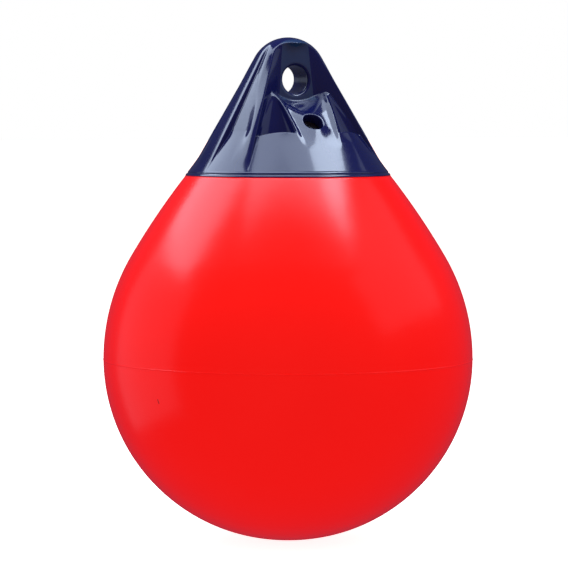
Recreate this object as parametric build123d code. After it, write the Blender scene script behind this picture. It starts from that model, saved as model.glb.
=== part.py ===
from build123d import *
from math import cos, pi, radians, sin, tan
import os

# An inflatable teardrop buoy hanging from its rope eye. The origin is the middle of the
# eye, +Z is up, the eye runs along Y and the side with the valve faces -Y.

# The round body: its widest ring, its lowest point, the arcs of its outline and its wall.
BODY_R = 183.9
EQUATOR_Z = -277.0
BOTTOM_Z = -458.0
SHOULDER_R = 202.8
SHOULDER_DEG = 30.5
BOTTOM_R = 196.0
BOTTOM_DEG = 9.75
WALL = 3.2
SEAM_HEIGHT = 0.35
SEAM_WIDTH = 1.4

# The rope hold: the steep cone that its ribs reach, and the flatter cone of its skirt.
CROWN_Z = 42.0
FOOT_Z = -85.0
FOOT_R = 95.2
RIB_CONE_DEG = 30.0
SKIRT_CONE_DEG = 36.9
LIP_TOP_Z = -88.5
LIP_BOTTOM_Z = -94.5
LIP_R = 102.4
LIP_TAPER = 4.4
LIP_STEP = 0.7

# The lug with the rope eye, its flat pads and the walls that spread from them.
EYE_R = 14.0
EYE_ROUNDING = 2.4
PAD_AT_EYE = 17.5
PAD_DRAFT = 0.065
PAD_SIDE_AT_EYE = 19.1
PAD_SIDE_SPREAD = 0.0885
FOLD_R = 3.0
WALL_EDGE_TOP = (17.3, -11.5)
WALL_EDGE_FOOT = (73.5, -60.1)

# The middle rib on each side, the sunk panel beside it and the crease behind the outer rib.
RIB_HALF_AT_EYE = 8.4
PANEL_X_AT_EYE = 42.3
PANEL_Y_AT_EYE = 9.4
RIB_DRAFT = 0.0695
PANEL_SPREAD = 0.525
CREASE_R_AT_EYE = 45.2
CREASE_SPREAD = 0.433
CREASE_DEG = 64.2
OUTER_RIB_DEG = 56.0
CREASE_BEND_Z = -50.0

# The ledge under each pad, the tongue face below it and the scoops beside the tongue.
LEDGE_Z = -20.0
LEDGE_DEG = 25.0
LEDGE_R = 46.0
TONGUE_DEG = 42.4
SCOOP_TOP_POINT = (-28.6, -26.9, -10.0)
SCOOP_DIRECTION = (-0.3125, -0.666, -0.6786)
SCOOP_CONE_DEG = 23.5
SCOOP_LENGTH = 52.5

# The valve hole in the tongue under the front pad, its insert and its screw.
VALVE_Y = -55.5
VALVE_Z = -40.2
VALVE_HOLE_R = 10.1
VALVE_DEPTH = 12.0
FLANGE = 3.5
SEAT_FIT = 0.1
SEAT_CHAMFER = 0.6
STEM_R = 7.0
STEM_LENGTH = 12.0
STEM_END_GAP = 0.5
HEAD_R = 5.2
HEAD_HEIGHT = 3.0
HEAD_SINK = 0.4
HEAD_CHAMFER = 0.5
SHANK_R = 3.0
SCREW_FIT = 0.1
SCREW_LENGTH = 8.0
SLOT_WIDTH = 1.6
SLOT_DEPTH = 1.6

os.makedirs("parts", exist_ok=True)


def rib_radius(z):
    # Radius of the steep cone at a height.
    return FOOT_R + (FOOT_Z - z) * tan(radians(RIB_CONE_DEG))


def skirt_radius(z):
    # Radius of the skirt cone at a height.
    return FOOT_R + (FOOT_Z - z) * tan(radians(SKIRT_CONE_DEG))


def on_circle(radius, degrees):
    # The point of the -X, -Y quarter at an angle from -Y towards -X.
    return (-radius * sin(radians(degrees)), -radius * cos(radians(degrees)))


def turned(*lines):
    # The solid made by turning a closed outline of (radius, height) round Z.
    edges = [edge for line in lines for edge in line.edges()]
    return revolve(Plane.XZ * make_face(Wire(edges)), Axis.Z)


def tapered(plan, heights):
    # A solid whose straight-sided sections follow plan(z) at the heights.
    sections = []
    for z in heights:
        points = [(x, y, z) for x, y in plan(z)]
        sections.append(Face(Wire(Polyline(*points, close=True).edges())))
    return Solid(loft(sections, ruled=True).wrapped)


def front_and_back(solid):
    return [solid, solid.mirror(Plane.XZ)]


def all_quarters(solid):
    return front_and_back(solid) + front_and_back(solid.mirror(Plane.YZ))


# The steep cone with the round crown that touches its flank.
slope = radians(RIB_CONE_DEG)
crown_r = (CROWN_Z * sin(slope) - rib_radius(0) * cos(slope)) / (sin(slope) - 1)
crown_centre = CROWN_Z - crown_r
crown_touch = (crown_r * cos(slope), crown_centre + crown_r * sin(slope))
crown_middle = (crown_r * sin(slope), crown_centre + crown_r * cos(slope))
block = turned(
    ThreePointArc((0, CROWN_Z), crown_middle, crown_touch),
    Polyline(crown_touch, (FOOT_R, FOOT_Z), (0, FOOT_Z), (0, CROWN_Z)))


def valley_plan(z):
    # A pad, the walls that spread from its sides to the ribs' edges, and open space ahead.
    share = (CROWN_Z - z) / (CROWN_Z - FOOT_Z)
    pad = (PAD_SIDE_AT_EYE - PAD_SIDE_SPREAD * z, -(PAD_AT_EYE - PAD_DRAFT * z))
    edge = [t + (f - t) * share for t, f in zip(WALL_EDGE_TOP, WALL_EDGE_FOOT)]
    # Each wall runs on past the rib's edge, and always in front of the pad.
    far_x = pad[0] + (edge[0] - pad[0]) * 2.2
    far_y = min(pad[1] + (edge[1] - pad[1]) * 2.2, pad[1] - 20)
    return [(-pad[0], pad[1]), pad, (far_x, far_y), (far_x, -170), (-far_x, -170), (-far_x, far_y)]


def recess_plan(z):
    # The flank of the middle rib, its groove, the crease, the outer rib's crest and open space.
    rib_y = -(RIB_HALF_AT_EYE - RIB_DRAFT * z)
    groove = (-(PANEL_X_AT_EYE - PANEL_SPREAD * z), -(PANEL_Y_AT_EYE - RIB_DRAFT * z))
    crease_r = CREASE_R_AT_EYE - CREASE_SPREAD * z
    if z < CREASE_BEND_Z:
        crease_r = skirt_radius(z) - 1
    crest = on_circle(rib_radius(z), OUTER_RIB_DEG)
    return [groove, on_circle(crease_r, CREASE_DEG), crest, (-140, crest[1] * 1.05), (-140, rib_y)]


valley = tapered(valley_plan, (FOOT_Z - 5, CROWN_Z + 5))
folds = [e for e in valley.edges() if e.center().Y > -2 * PAD_AT_EYE and e.length > CROWN_Z - FOOT_Z]
valley = valley.fillet(FOLD_R, folds)
for cut in front_and_back(valley):
    block = block - cut
for cut in all_quarters(tapered(recess_plan, (FOOT_Z - 5, CREASE_BEND_Z, CROWN_Z - 2))):
    block = block - cut

# The skirt with its lip band, cut by the flat tongue, the trough of the ledge and the scoops.
skirt_top = SCOOP_TOP_POINT[2]
lip_top_r = LIP_R - LIP_TAPER
skirt = turned(Polyline(
    (0, LIP_BOTTOM_Z), (LIP_R, LIP_BOTTOM_Z), (lip_top_r, LIP_TOP_Z), (lip_top_r - LIP_STEP, LIP_TOP_Z),
    (FOOT_R, FOOT_Z), (skirt_radius(skirt_top), skirt_top), (0, skirt_top), close=True))
lift = radians(TONGUE_DEG)
tongue = Plane(origin=(0, VALVE_Y, VALVE_Z), x_dir=(1, 0, 0), z_dir=(0, -cos(lift), sin(lift)))
tongue_cut = tongue * Box(160, 160, 60, align=(Align.CENTER, Align.CENTER, Align.MIN))
fall = radians(LEDGE_DEG)
trough_axis = Plane(
    origin=(0, -PAD_AT_EYE - LEDGE_R * sin(fall), LEDGE_Z + LEDGE_R * cos(fall)),
    x_dir=(1, 0, 0), z_dir=(0, -cos(fall), -sin(fall)))
trough = trough_axis * Cylinder(LEDGE_R, 150)
scoop_end_r = SCOOP_LENGTH * tan(radians(SCOOP_CONE_DEG))
scoop = Plane(origin=SCOOP_TOP_POINT, z_dir=SCOOP_DIRECTION) * Cone(
    0.01, scoop_end_r, SCOOP_LENGTH, align=(Align.CENTER, Align.CENTER, Align.MIN))
for cut in front_and_back(tongue_cut) + front_and_back(trough) + all_quarters(scoop):
    skirt = skirt - cut

# The eye through the lug, with rounded rims on both pads.
hold = skirt + block - Plane.XZ * Cylinder(EYE_R, 120)
rims = [e for e in hold.edges() if abs(e.length - 2 * pi * EYE_R) < 1.5 and abs(e.center().Z) < 2]
hold = hold.fillet(EYE_ROUNDING, rims)


def bored(radius, low, high):
    # A plain bore square to the tongue face; heights are over the face.
    return tongue * Pos(0, 0, low) * Cylinder(radius, high - low, align=(Align.CENTER, Align.CENTER, Align.MIN))


# The hole for the valve and the deeper one for its stem.
flange_base = -VALVE_DEPTH - FLANGE
stem_end = flange_base - STEM_LENGTH
hold = hold - bored(VALVE_HOLE_R, flange_base, 45)
hold = hold - bored(STEM_R + SEAT_FIT, stem_end - STEM_END_GAP, flange_base + 1)
export_step(hold, "parts/rope_hold.step")

# The valve's insert: a chamfered flange on a stem, with a seat for the screw's head.
flange_r = VALVE_HOLE_R - SEAT_FIT
head_base = -VALVE_DEPTH - HEAD_HEIGHT
seat = tongue * turned(Polyline(
    (HEAD_R, -VALVE_DEPTH), (flange_r - SEAT_CHAMFER, -VALVE_DEPTH), (flange_r, -VALVE_DEPTH - SEAT_CHAMFER),
    (flange_r, flange_base), (STEM_R, flange_base), (STEM_R, stem_end), (SHANK_R, stem_end),
    (SHANK_R, head_base), (HEAD_R, head_base), close=True))
export_step(seat, "parts/valve_seat.step")

# The slotted screw that closes the valve.
head_top = -VALVE_DEPTH - HEAD_SINK
head_r = HEAD_R - SCREW_FIT
shank_r = SHANK_R - SCREW_FIT
screw = tongue * turned(Polyline(
    (0, head_top), (head_r - HEAD_CHAMFER, head_top), (head_r, head_top - HEAD_CHAMFER), (head_r, head_base),
    (shank_r, head_base), (shank_r, head_base - SCREW_LENGTH), (0, head_base - SCREW_LENGTH), close=True))
screw = screw - tongue * Pos(0, 0, head_top) * Box(SLOT_WIDTH, 2 * HEAD_R, 2 * SLOT_DEPTH)
export_step(screw, "parts/valve_screw.step")

# The body's outline from the bottom up: a flatter bottom, the bowl, the shoulder and the neck.
turn = radians(BOTTOM_DEG)
bottom_end = (BOTTOM_R * sin(turn), BOTTOM_Z + BOTTOM_R * (1 - cos(turn)))
turn_up = radians(SHOULDER_DEG)
shoulder_end = (BODY_R - SHOULDER_R * (1 - cos(turn_up)), EQUATOR_Z + SHOULDER_R * sin(turn_up))
neck = (LIP_R - LIP_STEP, LIP_BOTTOM_Z)
arcs = [
    TangentArc((0, BOTTOM_Z), bottom_end, tangent=(1, 0)),
    TangentArc(bottom_end, (BODY_R, EQUATOR_Z), tangent=(cos(turn), sin(turn))),
    TangentArc((BODY_R, EQUATOR_Z), shoulder_end, tangent=(0, 1)),
    TangentArc(shoulder_end, neck, tangent=(-sin(turn_up), cos(turn_up))),
]
shell = turned(*arcs, Polyline(neck, (0, LIP_BOTTOM_Z), (0, BOTTOM_Z)))

# The air space inside, in short straight steps one wall in from the outline.
space = [(0, BOTTOM_Z + WALL)]
for arc, steps in zip(arcs, (1, 9, 4, 4)):
    for step in range(steps):
        spot, way = arc @ ((step + 1) / steps), arc % ((step + 1) / steps)
        space.append((spot.X - WALL * way.Y, spot.Y + WALL * way.X))
lid_z = LIP_BOTTOM_Z - WALL
space[-1] = (space[-1][0], lid_z)
shell = shell - turned(Polyline(*space, (0, lid_z), close=True))

# The thin ridge left by the mould's parting line at the widest ring.
half = SEAM_WIDTH / 2
seam = turned(Polyline(
    (BODY_R - 1, EQUATOR_Z - 2 * half), (BODY_R + SEAM_HEIGHT, EQUATOR_Z - 0.1),
    (BODY_R + SEAM_HEIGHT, EQUATOR_Z + 0.1), (BODY_R - 1, EQUATOR_Z + 2 * half), close=True))
export_step(shell + seam, "parts/body_shell.step")
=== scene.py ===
import math

import bpy
import numpy as np
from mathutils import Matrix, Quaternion, Vector


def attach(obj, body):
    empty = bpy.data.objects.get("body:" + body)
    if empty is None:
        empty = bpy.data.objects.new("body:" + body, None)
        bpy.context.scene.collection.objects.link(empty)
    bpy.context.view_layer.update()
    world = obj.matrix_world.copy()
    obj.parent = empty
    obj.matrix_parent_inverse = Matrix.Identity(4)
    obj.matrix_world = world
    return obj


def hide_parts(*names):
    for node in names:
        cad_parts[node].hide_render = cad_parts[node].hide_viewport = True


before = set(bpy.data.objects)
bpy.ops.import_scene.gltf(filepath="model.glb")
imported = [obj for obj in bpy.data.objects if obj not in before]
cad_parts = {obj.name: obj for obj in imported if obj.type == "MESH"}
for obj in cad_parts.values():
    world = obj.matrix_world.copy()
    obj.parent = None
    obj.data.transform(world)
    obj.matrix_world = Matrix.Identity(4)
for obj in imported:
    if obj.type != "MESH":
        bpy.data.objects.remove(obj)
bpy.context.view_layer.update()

# The rope hold is one thick moulding of dark blue vinyl: a cone with a lug and eye on top, a
# valley in front and behind, ribs and sunk panels on both sides, and a skirt down to the lip.
# Its edges are rounded by the mould, so it is made here as one smooth skin.

# Its lengths are in millimetres, and in its fields a is |x|, b is |y| and inside is negative.
CROWN_Z = 42.0
FOOT_Z = -85.0
FOOT_R = 95.2
RIB_CONE = math.radians(30.0)
SKIRT_CONE = math.radians(36.9)
HOLD_BOTTOM_Z = -90.2
EYE_R = 14.0

# The pad round the eye, and the wall that spreads from it as (a, b) at the crown and the foot.
PAD_AT_EYE = 17.5
PAD_DRAFT = 0.065
PAD_SIDE_AT_EYE = 19.1
PAD_SIDE_SPREAD = 0.0885
WALL_EDGE_TOP = (17.3, 11.5)
WALL_EDGE_FOOT = (73.5, 60.1)
LEAST_WALL = 4.0

# The recess on each side, between the middle rib and the outer rib.
RIB_HALF_AT_EYE = 8.4
RIB_DRAFT = 0.0695
PANEL_X_AT_EYE = 42.3
PANEL_Y_AT_EYE = 9.4
PANEL_SPREAD = 0.525
CREASE_R_AT_EYE = 45.2
CREASE_SPREAD = 0.433
CREASE_TURN = math.radians(64.2)
CREASE_BEND_Z = -50.0
CREASE_LIFT = 0.5
CREASE_LIFT_WAY = (0.454, 0.891)
CREASE_SHARPNESS = 3
OUTER_RIB_TURN = math.radians(56.0)
RECESS_RUN_OUT = 5
RECESS_BITE = 1

# The ledge under the pad, the tongue that holds the valve and the scoops beside it.
LEDGE_Z = -20.0
LEDGE_FALL = math.radians(25.0)
LEDGE_R = 46.0
TONGUE_LEAN = math.radians(42.4)
TONGUE_SAG = 3.0
TONGUE_BULGE_HALF = 11.0
TONGUE_RIM = 6.0
TONGUE_FOOT_Z = -36.0
TONGUE_FOOT_LENGTH = 26.0
SAG_FOOT_Z = -46.0
SAG_FOOT_LENGTH = 22.0
SCOOP_TOP = (28.6, 26.9, -10.0)
SCOOP_DIRECTION = (0.3125, 0.666, -0.6786)
SCOOP_CONE = math.radians(23.5)
SCOOP_LENGTH = 51.0

# The stepped hole that is bored square to the tongue for the valve.
VALVE_SPOT = (0.0, -55.5, -40.2)
VALVE_HOLE_R = 10.1
VALVE_DEPTH = 15.5
STEM_HOLE_R = 7.1
STEM_HOLE_DEPTH = 28.0

# How softly the surfaces meet, at each edge and in each fillet.
ROUND = {
    "pad": 1.4,
    "wall": 1.2,
    "groove": 1.8,
    "rib": 1.6,
    "crease": 0.5,
    "sharpest_crease": 1e-4,
    "tongue": 0.8,
    "tongue_foot": 8.0,
    "ledge": 4.0,
    "scoop_end": 2.5,
    "crest": 2.0,
    "scoop_top": 1.6,
    "front": 1.0,
    "underside": 0.3,
    "eye": 4.0,
    "hole_floor": 0.2,
    "hole_rim": 1.6,
}
MIDDLE_SOFTNESS = 0.02
TINY_SQUARE = 1e-6


def join(first, second, blend):
    # Union of two fields with a fillet of about the blend's size.
    h = np.maximum(blend - np.abs(first - second), 0.0) / blend
    return np.minimum(first, second) - h * h * blend * 0.25


def overlap(first, second, blend):
    # Intersection of two fields with an edge rounded to about the blend's size.
    h = np.maximum(blend - np.abs(first - second), 0.0) / blend
    return np.maximum(first, second) + h * h * blend * 0.25


def smooth(share):
    # A soft step from 0 to 1.
    share = np.clip(share, 0.0, 1.0)
    return share * share * (3 - 2 * share)


def side_of(a, b, start, end):
    # Distance to the straight line from start to end in plan, positive on its +a side.
    da, db = end[0] - start[0], end[1] - start[1]
    return ((a - start[0]) * db - (b - start[1]) * da) / np.hypot(da, db)


def cone_and_crown(r, z, rib_r):
    # The steep cone and the round crown that touches it.
    s, c = math.sin(RIB_CONE), math.cos(RIB_CONE)
    crown_r = (CROWN_Z * s - (FOOT_R + FOOT_Z * math.tan(RIB_CONE)) * c) / (s - 1)
    crown_z = CROWN_Z - crown_r
    on_crown = (z - crown_z) * c > r * s
    return np.where(on_crown, np.hypot(r, z - crown_z) - crown_r, (r - rib_r) * c)


def pad_and_wall(a, b, z):
    # The flat pad with the eye and the wall that spreads from its side.
    share = (CROWN_Z - z) / (CROWN_Z - FOOT_Z)
    pad_a = PAD_SIDE_AT_EYE - PAD_SIDE_SPREAD * z
    pad_b = PAD_AT_EYE - PAD_DRAFT * z
    edge_a = WALL_EDGE_TOP[0] + (WALL_EDGE_FOOT[0] - WALL_EDGE_TOP[0]) * share
    edge_b = WALL_EDGE_TOP[1] + (WALL_EDGE_FOOT[1] - WALL_EDGE_TOP[1]) * share
    wall = -side_of(a, b, (pad_a, pad_b), (np.maximum(edge_a, pad_a + LEAST_WALL), edge_b))
    return join(b - pad_b, wall, ROUND["pad"])


def side_recess(a, b, z, rib_r):
    # The middle rib's flank, the sunk panel, the crease and the outer rib's flank.
    groove = (PANEL_X_AT_EYE - PANEL_SPREAD * z, PANEL_Y_AT_EYE - RIB_DRAFT * z)
    bend = (z - CREASE_BEND_Z) / (FOOT_Z - RECESS_RUN_OUT - CREASE_BEND_Z)
    upper_r = CREASE_R_AT_EYE - CREASE_SPREAD * z
    low_r = (CREASE_R_AT_EYE - CREASE_SPREAD * CREASE_BEND_Z) * (1 - bend)
    low_r = low_r + bend * (FOOT_R + RECESS_RUN_OUT * math.tan(SKIRT_CONE) - RECESS_BITE)
    crease_r = np.where(z > CREASE_BEND_Z, upper_r, low_r)
    crease = (crease_r * math.sin(CREASE_TURN), crease_r * math.cos(CREASE_TURN))
    crest = (rib_r * math.sin(OUTER_RIB_TURN), rib_r * math.cos(OUTER_RIB_TURN))
    lift = CREASE_LIFT * (rib_r - crease_r)
    crease = (crease[0] + CREASE_LIFT_WAY[0] * lift, crease[1] + CREASE_LIFT_WAY[1] * lift)
    panel = side_of(a, b, groove, crease)
    outer = side_of(a, b, crease, crest)
    # The two flats meet in a hollow or in a ridge, as the turn between them says.
    panel_way = (crease[0] - groove[0], crease[1] - groove[1])
    outer_way = (crest[0] - crease[0], crest[1] - crease[1])
    turn = panel_way[0] * outer_way[1] - panel_way[1] * outer_way[0]
    turn = turn / (np.hypot(*panel_way) * np.hypot(*outer_way))
    soft = np.clip(np.abs(turn) * CREASE_SHARPNESS, ROUND["sharpest_crease"], ROUND["crease"])
    recess = np.where(turn < 0, join(panel, outer, soft), overlap(panel, outer, soft))
    rib = b - (RIB_HALF_AT_EYE - RIB_DRAFT * z)
    return join(rib, recess, ROUND["groove"])


def tongue_and_scoops(a, b, r, z):
    # The skirt, cut by the tongue's face, the curved ledge and the scoops whose edges are crests.
    skirt_r = FOOT_R + (FOOT_Z - z) * math.tan(SKIRT_CONE)
    skirt = (r - skirt_r) * math.cos(SKIRT_CONE)
    tongue = (b + VALVE_SPOT[1]) * math.cos(TONGUE_LEAN) + (z - VALVE_SPOT[2]) * math.sin(TONGUE_LEAN)
    fall_b = PAD_AT_EYE + LEDGE_R * math.sin(LEDGE_FALL)
    fall_z = LEDGE_Z + LEDGE_R * math.cos(LEDGE_FALL)
    over = (b - fall_b) * math.sin(LEDGE_FALL) + (z - fall_z) * math.cos(LEDGE_FALL)
    ledge = LEDGE_R - np.hypot(a, over)
    from_a, from_b, from_z = a - SCOOP_TOP[0], b - SCOOP_TOP[1], z - SCOOP_TOP[2]
    along = from_a * SCOOP_DIRECTION[0] + from_b * SCOOP_DIRECTION[1] + from_z * SCOOP_DIRECTION[2]
    reach_square = from_a * from_a + from_b * from_b + from_z * from_z
    out = np.sqrt(np.maximum(reach_square - along * along, TINY_SQUARE))
    scoop = (out - along * math.tan(SCOOP_CONE)) * math.cos(SCOOP_CONE)
    # The tongue bulges round the valve and rises to the crests beside it, and its foot runs out.
    near = 1 - smooth(scoop / TONGUE_RIM)
    foot = smooth((SAG_FOOT_Z - z) / SAG_FOOT_LENGTH)
    sag = TONGUE_SAG * (1 - np.exp(-(a / TONGUE_BULGE_HALF) ** 2))
    tongue = tongue + sag * (1 - near) * (1 - foot)
    soft = ROUND["tongue"] + ROUND["tongue_foot"] * smooth((TONGUE_FOOT_Z - z) / TONGUE_FOOT_LENGTH)
    front = overlap(skirt, tongue, soft)
    front = overlap(front, ledge, ROUND["ledge"])
    scoop = overlap(scoop, along - SCOOP_LENGTH, ROUND["scoop_end"])
    front = overlap(front, -scoop, ROUND["crest"])
    return overlap(front, z - SCOOP_TOP[2], ROUND["scoop_top"])


def valve_bores(x, y, z):
    # The valve's hole and the narrower hole for its stem, square to the tongue.
    s, c = math.sin(TONGUE_LEAN), math.cos(TONGUE_LEAN)
    up = (y - VALVE_SPOT[1]) * -c + (z - VALVE_SPOT[2]) * s
    side = (y - VALVE_SPOT[1]) * s + (z - VALVE_SPOT[2]) * c
    bore = np.hypot(x, side)
    hole = overlap(bore - VALVE_HOLE_R, -VALVE_DEPTH - up, ROUND["hole_floor"])
    stem = overlap(bore - STEM_HOLE_R, -STEM_HOLE_DEPTH - up, ROUND["hole_floor"])
    return np.minimum(hole, stem)


def hold_field(x, y, z):
    a = np.sqrt(x * x + MIDDLE_SOFTNESS)
    b = np.sqrt(y * y + MIDDLE_SOFTNESS)
    r = np.hypot(a, b)
    rib_r = FOOT_R + (FOOT_Z - z) * math.tan(RIB_CONE)
    block = overlap(cone_and_crown(r, z, rib_r), pad_and_wall(a, b, z), ROUND["wall"])
    block = overlap(block, side_recess(a, b, z, rib_r), ROUND["rib"])
    hold = join(block, tongue_and_scoops(a, b, r, z), ROUND["front"])
    hold = overlap(hold, HOLD_BOTTOM_Z - z, ROUND["underside"])
    hold = overlap(hold, EYE_R - np.hypot(x, z), ROUND["eye"])
    return overlap(hold, -valve_bores(x, y, z), ROUND["hole_rim"])


# The box that the skin is sought in, the size of its cells, and how its points are pulled on.
HOLD_LOW = (-101, -101, -92)
HOLD_HIGH = (101, 101, 44)
HOLD_STEP = 1.05
PULLS = 4
PULL_REACH = 0.4
LEAST_SLOPE = 0.05
FLAT_WITHIN = 0.02
MM_PER_METRE = 1000


def slopes(field, p, step=0.05):
    # The field's gradient at points, by central differences.
    parts = []
    for axis in range(3):
        d = np.zeros(3)
        d[axis] = step
        high, low = p + d, p - d
        parts.append((field(*high.T) - field(*low.T)) / (2 * step))
    return np.stack(parts, 1)


def skin(field, low, high, step):
    # Points and four-sided faces on the surface where the field is zero.
    axes = [np.arange(l, h + step, step) for l, h in zip(low, high)]
    values = np.empty([len(a) for a in axes], np.float32)
    for i, x in enumerate(axes[0]):
        ys, zs = np.meshgrid(axes[1], axes[2], indexing="ij")
        values[i] = field(np.full_like(ys, x), ys, zs)
    inside = values < 0
    cells = tuple(n - 1 for n in values.shape)
    total = np.zeros((int(np.prod(cells)), 3))
    hits = np.zeros(int(np.prod(cells)))
    quads = []
    # Each grid edge that crosses the surface gives one face between the four cells round it.
    for axis in range(3):
        ahead = tuple(slice(1, None) if k == axis else slice(None) for k in range(3))
        behind = tuple(slice(0, -1) if k == axis else slice(None) for k in range(3))
        index = np.argwhere(inside[ahead] != inside[behind])
        u, v = [k for k in range(3) if k != axis]
        past_low = (index[:, u] > 0) & (index[:, v] > 0)
        below_high = (index[:, u] < cells[u]) & (index[:, v] < cells[v])
        index = index[past_low & below_high]
        after = index.copy()
        after[:, axis] += 1
        first, last = values[tuple(index.T)].astype(float), values[tuple(after.T)].astype(float)
        point = index.astype(float)
        point[:, axis] += first / (first - last)
        ring = []
        for du, dv in ((-1, -1), (0, -1), (0, 0), (-1, 0)):
            cell = index.copy()
            cell[:, u] += du
            cell[:, v] += dv
            number = np.ravel_multi_index(tuple(cell.T), cells)
            np.add.at(total, number, point)
            np.add.at(hits, number, 1)
            ring.append(number)
        ring = np.stack(ring, 1)
        flip = inside[tuple(index.T)] == (axis == 1)
        ring[flip] = ring[flip][:, ::-1]
        quads.append(ring)
    used = hits > 0
    number = np.full(len(hits), -1)
    number[used] = np.arange(used.sum())
    points = total[used] / hits[used][:, None] * step + np.array([a[0] for a in axes])
    # The points are then pulled on to the surface along the field's slope.
    for _ in range(PULLS):
        slope = slopes(field, points)
        steepness = np.maximum((slope * slope).sum(1), LEAST_SLOPE)
        move = -field(*points.T)[:, None] * slope / steepness[:, None]
        points += np.clip(move, -PULL_REACH * step, PULL_REACH * step)
    return points, number[np.concatenate(quads)]


points, faces = skin(hold_field, HOLD_LOW, HOLD_HIGH, HOLD_STEP)
# The flat underside is one face in place of many small ones.
flat = points[:, 2] < HOLD_BOTTOM_Z + FLAT_WITHIN
faces = faces[~flat[faces].all(1)]
sides = np.concatenate([faces[:, [i, (i + 1) % 4]] for i in range(4)])
single = set(map(tuple, sides.tolist()))
after = {end: start for start, end in single if (end, start) not in single}
ring = [next(iter(after))]
while after[ring[-1]] != ring[0]:
    ring.append(after[ring[-1]])
used = np.zeros(len(points), bool)
used[faces] = True
place = np.cumsum(used) - 1
points = points[used]
faces = [*place[faces].tolist(), place[ring].tolist()]


class Sockets:
    # A shader socket in a sum: each operator adds the Math node that it needs.
    def __init__(self, tree, socket):
        self.tree = tree
        self.socket = socket

    def math(self, operation, other=None, swap=False):
        node = self.tree.nodes.new("ShaderNodeMath")
        node.operation = operation
        values = [self, other] if not swap else [other, self]
        for slot, value in zip(node.inputs, values):
            if isinstance(value, Sockets):
                self.tree.links.new(value.socket, slot)
            elif value is not None:
                slot.default_value = value
        return Sockets(self.tree, node.outputs[0])

    def __add__(self, other):
        return self.math("ADD", other)

    def __radd__(self, other):
        return self.math("ADD", other, True)

    def __sub__(self, other):
        return self.math("SUBTRACT", other)

    def __rsub__(self, other):
        return self.math("SUBTRACT", other, True)

    def __mul__(self, other):
        return self.math("MULTIPLY", other)

    def __rmul__(self, other):
        return self.math("MULTIPLY", other, True)

    def __gt__(self, other):
        return self.math("GREATER_THAN", other)

    def __lt__(self, other):
        return self.math("LESS_THAN", other)

    def size(self):
        return self.math("ABSOLUTE")


class Finish:
    # A material of one shader, whose nodes all come from the same method.
    COLOUR_SLOTS = (6, 7)
    COLOUR_RESULT = 2
    OBJECT_PLACE = 3

    def __init__(self, name):
        self.material = bpy.data.materials.new(name)
        self.material.use_nodes = True
        self.tree = self.material.node_tree
        self.shader = self.tree.nodes["Principled BSDF"]

    def fill(self, slot, value):
        if isinstance(value, Sockets):
            self.tree.links.new(value.socket, slot)
        else:
            slot.default_value = value

    def node(self, kind, settings=None, output=0, **sockets):
        made = self.tree.nodes.new(kind)
        for key, value in (settings or {}).items():
            setattr(made, key, value)
        for key, value in sockets.items():
            self.fill(made.inputs[key], value)
        return Sockets(self.tree, made.outputs[output])

    def place(self):
        return self.node("ShaderNodeTexCoord", output=self.OBJECT_PLACE)

    def axes(self):
        split = self.node("ShaderNodeSeparateXYZ", Vector=self.place())
        outputs = split.socket.node.outputs
        return [Sockets(self.tree, outputs[i]) for i in range(3)]

    def blotches(self, scale, detail=3.0, stretch=(1.0, 1.0, 1.0)):
        spread = self.node("ShaderNodeMapping", Vector=self.place(), Scale=stretch)
        return self.node("ShaderNodeTexNoise", Vector=spread, Scale=scale, Detail=detail)

    def blend(self, amount, first, second):
        made = self.node("ShaderNodeMix", {"data_type": "RGBA"}, output=self.COLOUR_RESULT, Factor=amount)
        for number, value in zip(self.COLOUR_SLOTS, (first, second)):
            colour = value if isinstance(value, Sockets) else (*value, 1.0)
            self.fill(made.socket.node.inputs[number], colour)
        return made

    def bump(self, height, distance):
        return self.node("ShaderNodeBump", Height=height, Distance=distance)

    def set(self, **sockets):
        for key, value in sockets.items():
            self.fill(self.shader.inputs[key.replace("_", " ")], value)
        return self.material


# The vinyl's colours, and the bounds in metres of the matt pad round the eye's polished edge.
NAVY_DEEP = (0.0025, 0.006, 0.070)
NAVY_PALE = (0.004, 0.011, 0.100)
PAD_NAVY = (0.001, 0.034, 0.125)
MATT_PAD_HALF = 0.0174
MATT_PAD_FACE = 0.0155
MATT_PAD_FOOT_Z = -0.0197
POLISHED_EDGE_R = 0.0163

navy = Finish("navy_vinyl")
x, y, z = navy.axes()
on_pad = x.size() < MATT_PAD_HALF - PAD_SIDE_SPREAD * z
on_pad = on_pad * (y.size() > MATT_PAD_FACE - PAD_DRAFT * z) * (z > MATT_PAD_FOOT_Z)
on_pad = on_pad * (x * x + z * z > POLISHED_EDGE_R ** 2)
cloud = navy.blotches(14.0)
fine = navy.blotches(900.0, 2.0)
hold_colour = navy.blend(cloud, NAVY_DEEP, NAVY_PALE)
hold_colour = navy.blend(on_pad, hold_colour, PAD_NAVY)
hold_rough = 0.11 + 0.05 * cloud + 0.22 * on_pad
hold_bump = navy.bump(cloud + fine * 0.02, 0.0006)
navy.set(Base_Color=hold_colour, Roughness=hold_rough, Normal=hold_bump)
navy.set(IOR=1.55, Coat_Weight=0.6, Coat_Roughness=0.06)

moulding = bpy.data.meshes.new("rope_hold_moulding")
moulding.from_pydata((points / MM_PER_METRE).tolist(), [], faces)
moulding.update()
moulding.shade_smooth()
moulding.normals_split_custom_set_from_vertices(slopes(hold_field, points).tolist())
moulding.materials.append(navy.material)
hold = bpy.data.objects.new("rope_hold_moulding", moulding)
bpy.context.scene.collection.objects.link(hold)
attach(hold, "root")
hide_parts("rope_hold")

# The lip is the rim of the same moulding, where the hold is welded round the neck of the body.
# It carries on the slope of the skirt, with a fine groove and rounded edges, and is turned here.
LIP_TOP_Z = -88.5
LIP_BOTTOM_Z = -94.5
LIP_CAP_Z = -89.0
LIP_R = 102.4
LIP_TAPER = 4.4
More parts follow.
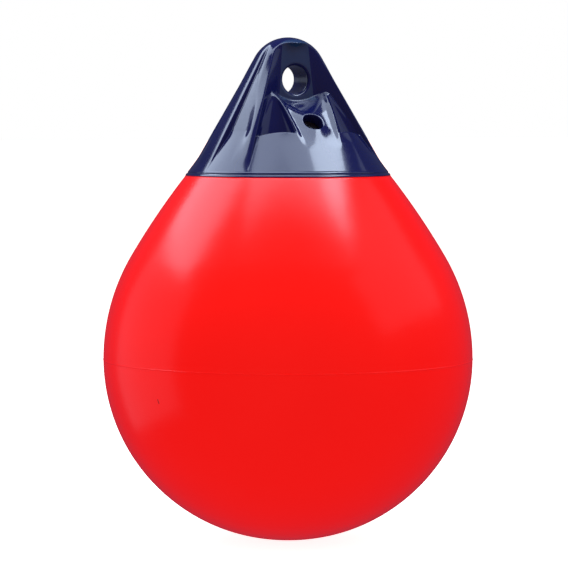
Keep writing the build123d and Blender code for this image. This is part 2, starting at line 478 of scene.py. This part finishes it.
# The lip's outline as (height, inset from its slope), with the groove halfway down.
LIP_SHAPE = (
    (-88.6, 2.2), (-88.9, 0.4), (-89.5, 0.0), (-90.6, 0.0), (-91.1, 0.15), (-91.5, 0.6), (-91.8, 0.75),
    (-92.1, 0.6), (-92.5, 0.15), (-92.9, 0.0), (-93.8, 0.0), (-94.25, 0.14), (-94.5, 0.55),
)
STEPS_ROUND = 320
PATH_R = 100.0
MERGE_WITHIN = 0.00001

# The geometry tree turns an outline once round the axis and closes it at both ends.
turned = bpy.data.node_groups.new("turned_ball", "GeometryNodeTree")
for label, kind in (
    ("Outline", "Geometry"),
    ("Turns", "Int"),
    ("Path Radius", "Float"),
    ("Vinyl", "Material"),
):
    turned.interface.new_socket(label, in_out="INPUT", socket_type="NodeSocket" + kind)
turned.interface.new_socket("Ball", in_out="OUTPUT", socket_type="NodeSocketGeometry")
steps = {}
for label in (
    "NodeGroupInput",
    "GeometryNodeMeshToCurve",
    "GeometryNodeCurvePrimitiveCircle",
    "GeometryNodeCurveToMesh",
    "GeometryNodeMergeByDistance",
    "GeometryNodeRealizeInstances",
    "GeometryNodeSetMaterial",
    "NodeGroupOutput",
):
    steps[label.replace("GeometryNode", "")] = turned.nodes.new(label)
steps["MergeByDistance"].inputs["Distance"].default_value = MERGE_WITHIN
for start, output, end, slot in (
    ("NodeGroupInput", "Outline", "MeshToCurve", "Mesh"),
    ("NodeGroupInput", "Turns", "CurvePrimitiveCircle", "Resolution"),
    ("NodeGroupInput", "Path Radius", "CurvePrimitiveCircle", "Radius"),
    ("CurvePrimitiveCircle", "Curve", "CurveToMesh", "Curve"),
    ("MeshToCurve", "Curve", "CurveToMesh", "Profile Curve"),
    ("CurveToMesh", "Mesh", "MergeByDistance", "Geometry"),
    ("MergeByDistance", "Geometry", "RealizeInstances", "Geometry"),
    ("RealizeInstances", "Geometry", "SetMaterial", "Geometry"),
    ("NodeGroupInput", "Vinyl", "SetMaterial", "Material"),
    ("SetMaterial", "Geometry", "NodeGroupOutput", "Ball"),
):
    turned.links.new(steps[start].outputs[output], steps[end].inputs[slot])


def turn(name, outline, material):
    # A closed piece turned from an outline of (radius, height) points that starts below.
    line = [((r - PATH_R) / MM_PER_METRE, -h / MM_PER_METRE, 0) for r, h in outline[::-1]]
    profile = bpy.data.meshes.new(name)
    profile.from_pydata(line, [(i, i + 1) for i in range(len(line) - 1)], [])
    maker = bpy.data.objects.new(name + "_outline", profile)
    bpy.context.scene.collection.objects.link(maker)
    growth = maker.modifiers.new(name, "NODES")
    growth.node_group = turned
    chosen = {"Turns": STEPS_ROUND, "Path Radius": PATH_R / MM_PER_METRE, "Vinyl": material}
    for item in turned.interface.items_tree:
        if item.name in chosen:
            growth[item.identifier] = chosen[item.name]
    ready = maker.evaluated_get(bpy.context.evaluated_depsgraph_get())
    piece = bpy.data.objects.new(name, bpy.data.meshes.new_from_object(ready))
    bpy.context.scene.collection.objects.link(piece)
    bpy.data.objects.remove(maker)
    piece.data.shade_smooth()
    return piece


slope = LIP_TAPER / (LIP_TOP_Z - LIP_BOTTOM_Z)
lip_side = [(LIP_R - slope * (h - LIP_BOTTOM_Z) - inset, h) for h, inset in LIP_SHAPE]
lip = turn("rope_hold_lip", [(0, LIP_BOTTOM_Z), *lip_side[::-1], (0, LIP_CAP_Z)], navy.material)
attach(lip, "root")
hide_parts("rope_hold")

# The body is a hollow ball of soft red vinyl, moulded in one with a thin raised parting line at
# its widest ring. It is turned here from four arcs that touch, from the bottom to the neck.
BODY_R = 183.9
EQUATOR_Z = -277.0
BOTTOM_Z = -458.0
BOTTOM_R = 196.0
BOTTOM_TURN = math.radians(9.75)
SHOULDER_R = 202.8
SHOULDER_TURN = math.radians(30.5)
LIP_STEP = 0.7
SEAM_HEIGHT = 0.35
SEAM_HALF = 0.7
SEAM_CLEAR = 3
SEAM_REACH = 1.5
SEAM_POINTS = 13


def arc(start, end, heading, count):
    # Points after start on the circle that leaves it along heading and reaches end.
    start, end, heading = (np.array(v, float) for v in (start, end, heading))
    normal = np.array([-heading[1], heading[0]])
    chord = end - start
    radius = chord @ chord / (2 * (chord @ normal))
    centre = start + normal * radius
    sweep = 2 * math.atan2(chord @ normal, chord @ heading)
    angles = np.linspace(0, sweep, count + 1)[1:]
    arm = start - centre
    spots = [
        (arm[0] * math.cos(t) - arm[1] * math.sin(t), arm[0] * math.sin(t) + arm[1] * math.cos(t))
        for t in angles
    ]
    return centre + np.array(spots)


bottom_end = (
    BOTTOM_R * math.sin(BOTTOM_TURN),
    BOTTOM_Z + BOTTOM_R * (1 - math.cos(BOTTOM_TURN)),
)
widest = (BODY_R, EQUATOR_Z)
shoulder_end = (
    BODY_R - SHOULDER_R * (1 - math.cos(SHOULDER_TURN)),
    EQUATOR_Z + SHOULDER_R * math.sin(SHOULDER_TURN),
)
neck = (LIP_R - LIP_STEP, LIP_BOTTOM_Z)
# Each arc has its start, its end, the way that it sets off and its number of steps.
outline = np.concatenate([
    arc((0, BOTTOM_Z), bottom_end, (1, 0), 10),
    arc(bottom_end, widest, (math.cos(BOTTOM_TURN), math.sin(BOTTOM_TURN)), 90),
    arc(widest, shoulder_end, (0, 1), 40),
    arc(shoulder_end, neck, (-math.sin(SHOULDER_TURN), math.cos(SHOULDER_TURN)), 40),
])
near_seam = np.abs(outline[:, 1] - EQUATOR_Z) < SEAM_CLEAR * SEAM_HALF
seam = []
for t in np.linspace(-SEAM_REACH, SEAM_REACH, SEAM_POINTS):
    rise = t * SEAM_HALF
    high = SEAM_HEIGHT * (0.5 + 0.5 * math.cos(math.pi * min(abs(t), 1.0)))
    seam.append((BODY_R - rise * rise / (2 * BODY_R) + high, EQUATOR_Z + rise))
outline = np.concatenate([outline[~near_seam], seam])
outline = outline[np.argsort(outline[:, 1])]
outline = np.concatenate([[(0, BOTTOM_Z)], outline, [(0, LIP_BOTTOM_Z)]])

# The colours, and the small dark nick low on the left with its place and size in metres.
RED_DEEP = (0.84, 0.003, 0.0006)
RED_PALE = (0.90, 0.005, 0.001)
NICK_DARK = (0.16, 0.0, 0.0)
NICK_Y = 0.0615
NICK_Z = 0.3075
NICK_LEAN = 0.2
NICK_HALF = (0.0005, 0.0022)

red = Finish("red_vinyl")
x, y, z = red.axes()
patch = red.blotches(7.0)
grain = red.blotches(60.0, 4.0, (1.0, 1.0, 6.0))
speck = red.blotches(1500.0, 1.0)
body_colour = red.blend(patch, RED_DEEP, RED_PALE)
nick = (y + NICK_Y - NICK_LEAN * (z + NICK_Z)).size() < NICK_HALF[0]
nick = nick * ((z + NICK_Z).size() < NICK_HALF[1]) * (x < 0.0)
body_colour = red.blend(nick, body_colour, NICK_DARK)
body_rough = 0.19 + 0.05 * patch + 0.03 * grain
body_bump = red.bump(patch + grain * 0.06 + speck * 0.01, 0.0010)
red.set(Base_Color=body_colour, Roughness=body_rough, Normal=body_bump, IOR=1.52)

body = turn("body_ball", outline, red.material)
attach(body, "root")
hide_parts("body_shell")

# The valve's insert and its slotted screw are dark hard mouldings, pressed in the hole under the
# eye and screwed down in it. Both keep the shapes of their CAD nodes and get a scuffed finish.
# Their colours are darkened further as painted shade for the deep hole that they sit in.
INSERT_SHADED_DEEP = (0.004, 0.006, 0.012)
INSERT_SHADED_PALE = (0.008, 0.014, 0.028)
SCREW_SHADED_DEEP = (0.006, 0.014, 0.030)
SCREW_SHADED_PALE = (0.012, 0.030, 0.060)

insert_black_and_shaded = Finish("insert_black_and_painted_shade")
grit = insert_black_and_shaded.blotches(400.0)
insert_black_and_shaded.set(Base_Color=insert_black_and_shaded.blend(grit, INSERT_SHADED_DEEP, INSERT_SHADED_PALE), Roughness=0.3 + 0.15 * grit)
screw_dark_and_shaded = Finish("screw_with_painted_shade")
scuff = screw_dark_and_shaded.blotches(600.0)
screw_dark_and_shaded.set(Base_Color=screw_dark_and_shaded.blend(scuff, SCREW_SHADED_DEEP, SCREW_SHADED_PALE), Roughness=0.25 + 0.2 * scuff)
for node, finish in (("valve_seat", insert_black_and_shaded), ("valve_screw", screw_dark_and_shaded)):
    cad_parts[node].data.materials.clear()
    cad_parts[node].data.materials.append(finish.material)

# The floor is a pale sheet just under the buoy. It glows a little so that it stays white, and
# it doesn't show in the gloss of the vinyl.
FLOOR_Z = -0.4581
FLOOR_HALF = 30
FLOOR_GLOW = 0.9

corners = [(-1, -1), (1, -1), (1, 1), (-1, 1)]
floor_mesh = bpy.data.meshes.new("floor")
floor_mesh.from_pydata([(FLOOR_HALF * i, FLOOR_HALF * j, FLOOR_Z) for i, j in corners], [], [(0, 1, 2, 3)])
floor = bpy.data.objects.new("floor", floor_mesh)
bpy.context.scene.collection.objects.link(floor)
pale = Finish("pale_floor")
pale.set(Base_Color=(0.9, 0.9, 0.9, 1.0), Roughness=0.8)
pale.set(Emission_Color=(1.0, 1.0, 1.0, 1.0), Emission_Strength=FLOOR_GLOW)
floor.data.materials.append(pale.material)
floor.visible_glossy = False
floor.visible_diffuse = False

# The room round the buoy is dim and bluish in the gloss of the vinyl, gives an even warm fill
# to its colours, and is plain white where the camera looks past the buoy.
ROOM_COLOUR = (0.5, 0.55, 1.0, 1.0)
ROOM_STRENGTH = 0.10
FILL_COLOUR = (1.08, 0.45, 0.35, 1.0)
PAPER_COLOUR = (1.0, 1.0, 1.0, 1.0)

world = bpy.data.worlds.new("studio")
bpy.context.scene.world = world
world.use_nodes = True
world.cycles.sampling_method = "NONE"
links = world.node_tree.links
seen = world.node_tree.nodes.new("ShaderNodeLightPath")
room = world.node_tree.nodes["Background"]
room.inputs["Color"].default_value = ROOM_COLOUR
room.inputs["Strength"].default_value = ROOM_STRENGTH
for ray, colour in (("Is Diffuse Ray", FILL_COLOUR), ("Is Camera Ray", PAPER_COLOUR)):
    layer = world.node_tree.nodes.new("ShaderNodeBackground")
    layer.inputs["Color"].default_value = colour
    choice = world.node_tree.nodes.new("ShaderNodeMixShader")
    links.new(seen.outputs[ray], choice.inputs[0])
    links.new(room.outputs[0], choice.inputs[1])
    links.new(layer.outputs[0], choice.inputs[2])
    room = choice
links.new(room.outputs[0], world.node_tree.nodes["World Output"].inputs[0])

# The studio light is three soft boxes that hang level overhead, for the broad highlights, and
# a dim screen on each side that faces the buoy. Places are right, toward the camera and up.
YAW = math.radians(27.0)
back = Vector((-math.sin(YAW), -math.cos(YAW), 0))
right = Vector((math.cos(YAW), -math.sin(YAW), 0))
up = Vector((0, 0, 1))
AIM = up * -0.085
LIGHT_COLOUR = (0.70, 0.82, 1.0)


def soft_light(name, place, width, tall, radiance, facing=False):
    # A soft box at place from the aim, in metres. It hangs level or faces the aim.
    data = bpy.data.lights.new(name, "AREA")
    data.shape = "RECTANGLE"
    data.size = width
    data.size_y = tall
    data.energy = radiance * math.pi * width * tall
    data.color = LIGHT_COLOUR
    lamp = bpy.data.objects.new(name, data)
    bpy.context.scene.collection.objects.link(lamp)
    lamp.location = AIM + right * place[0] + back * place[1] + up * place[2]
    lamp.rotation_mode = "QUATERNION"
    level = Quaternion(up, -YAW)
    lamp.rotation_quaternion = (AIM - lamp.location).to_track_quat("-Z", "Y") if facing else level


soft_light("left_box", (-1.575, -0.765, 1.45), 1.55, 1.97, 3.0)
soft_light("top_box", (-0.065, 0.10, 1.50), 1.47, 1.00, 3.0)
soft_light("right_box", (0.885, 0.0, 1.50), 0.43, 1.00, 7.4)
soft_light("right_screen", (2.05, 0.10, 1.10), 2.6, 1.5, 0.36, True)
soft_light("left_screen", (-2.16, -0.36, 0.1), 2.3, 2.8, 0.34, True)

# The camera stands three metres back, on the side and at the height that the photograph was
# taken from. Its long lens takes in a little over half a metre at the buoy.
CAMERA_BACK = 3.0
CAMERA_Z = -0.024
TARGET_Z = -0.2029
ASIDE = right * -0.0040
VIEW_WIDTH = 0.5657
SENSOR_WIDTH = 36.0

cam_data = bpy.data.cameras.new("camera")
camera = bpy.data.objects.new("camera", cam_data)
bpy.context.scene.collection.objects.link(camera)
camera.location = back * CAMERA_BACK + up * CAMERA_Z + ASIDE
target = up * TARGET_Z + ASIDE
camera.rotation_mode = "QUATERNION"
camera.rotation_quaternion = (target - camera.location).to_track_quat("-Z", "Y")
cam_data.sensor_width = SENSOR_WIDTH
cam_data.lens = SENSOR_WIDTH * (target - camera.location).length / VIEW_WIDTH
cam_data.clip_end = 80.0
bpy.context.scene.camera = camera
bpy.context.scene.view_settings.view_transform = "Standard"
